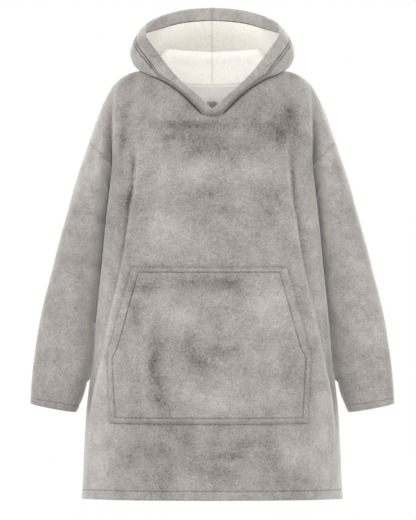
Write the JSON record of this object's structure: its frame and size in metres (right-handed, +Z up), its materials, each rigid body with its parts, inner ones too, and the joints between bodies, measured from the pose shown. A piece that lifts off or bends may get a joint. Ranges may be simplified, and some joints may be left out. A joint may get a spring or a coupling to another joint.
{
  "type": "wearable blanket hoodie",
  "caption": "Oversized pullover blanket with a lined hood lying down, dropped shoulders, long sleeves and a front hand pocket; filled out with no wearer.",
  "frame": {"origin": "midway between the shoulders, level with the inner ends of the shoulder seams", "axes": "+Z up, the front faces -Y, the wearer's left is +X"},
  "size_m": [0.7616, 0.3492, 1.0443],
  "materials": {
    "plush": "soft short-pile plush",
    "lining": "fluffy fleece"
  },
  "bodies": {
    "root": {"front": "plush", "back": "plush", "sleeve_left": "plush", "sleeve_right": "plush", "hood_left": "plush", "hood_right": "plush", "pocket": "plush", "hood_lining_left": "lining", "hood_lining_right": "lining", "back_neck_lining": "lining"}
  },
  "joints": []
}
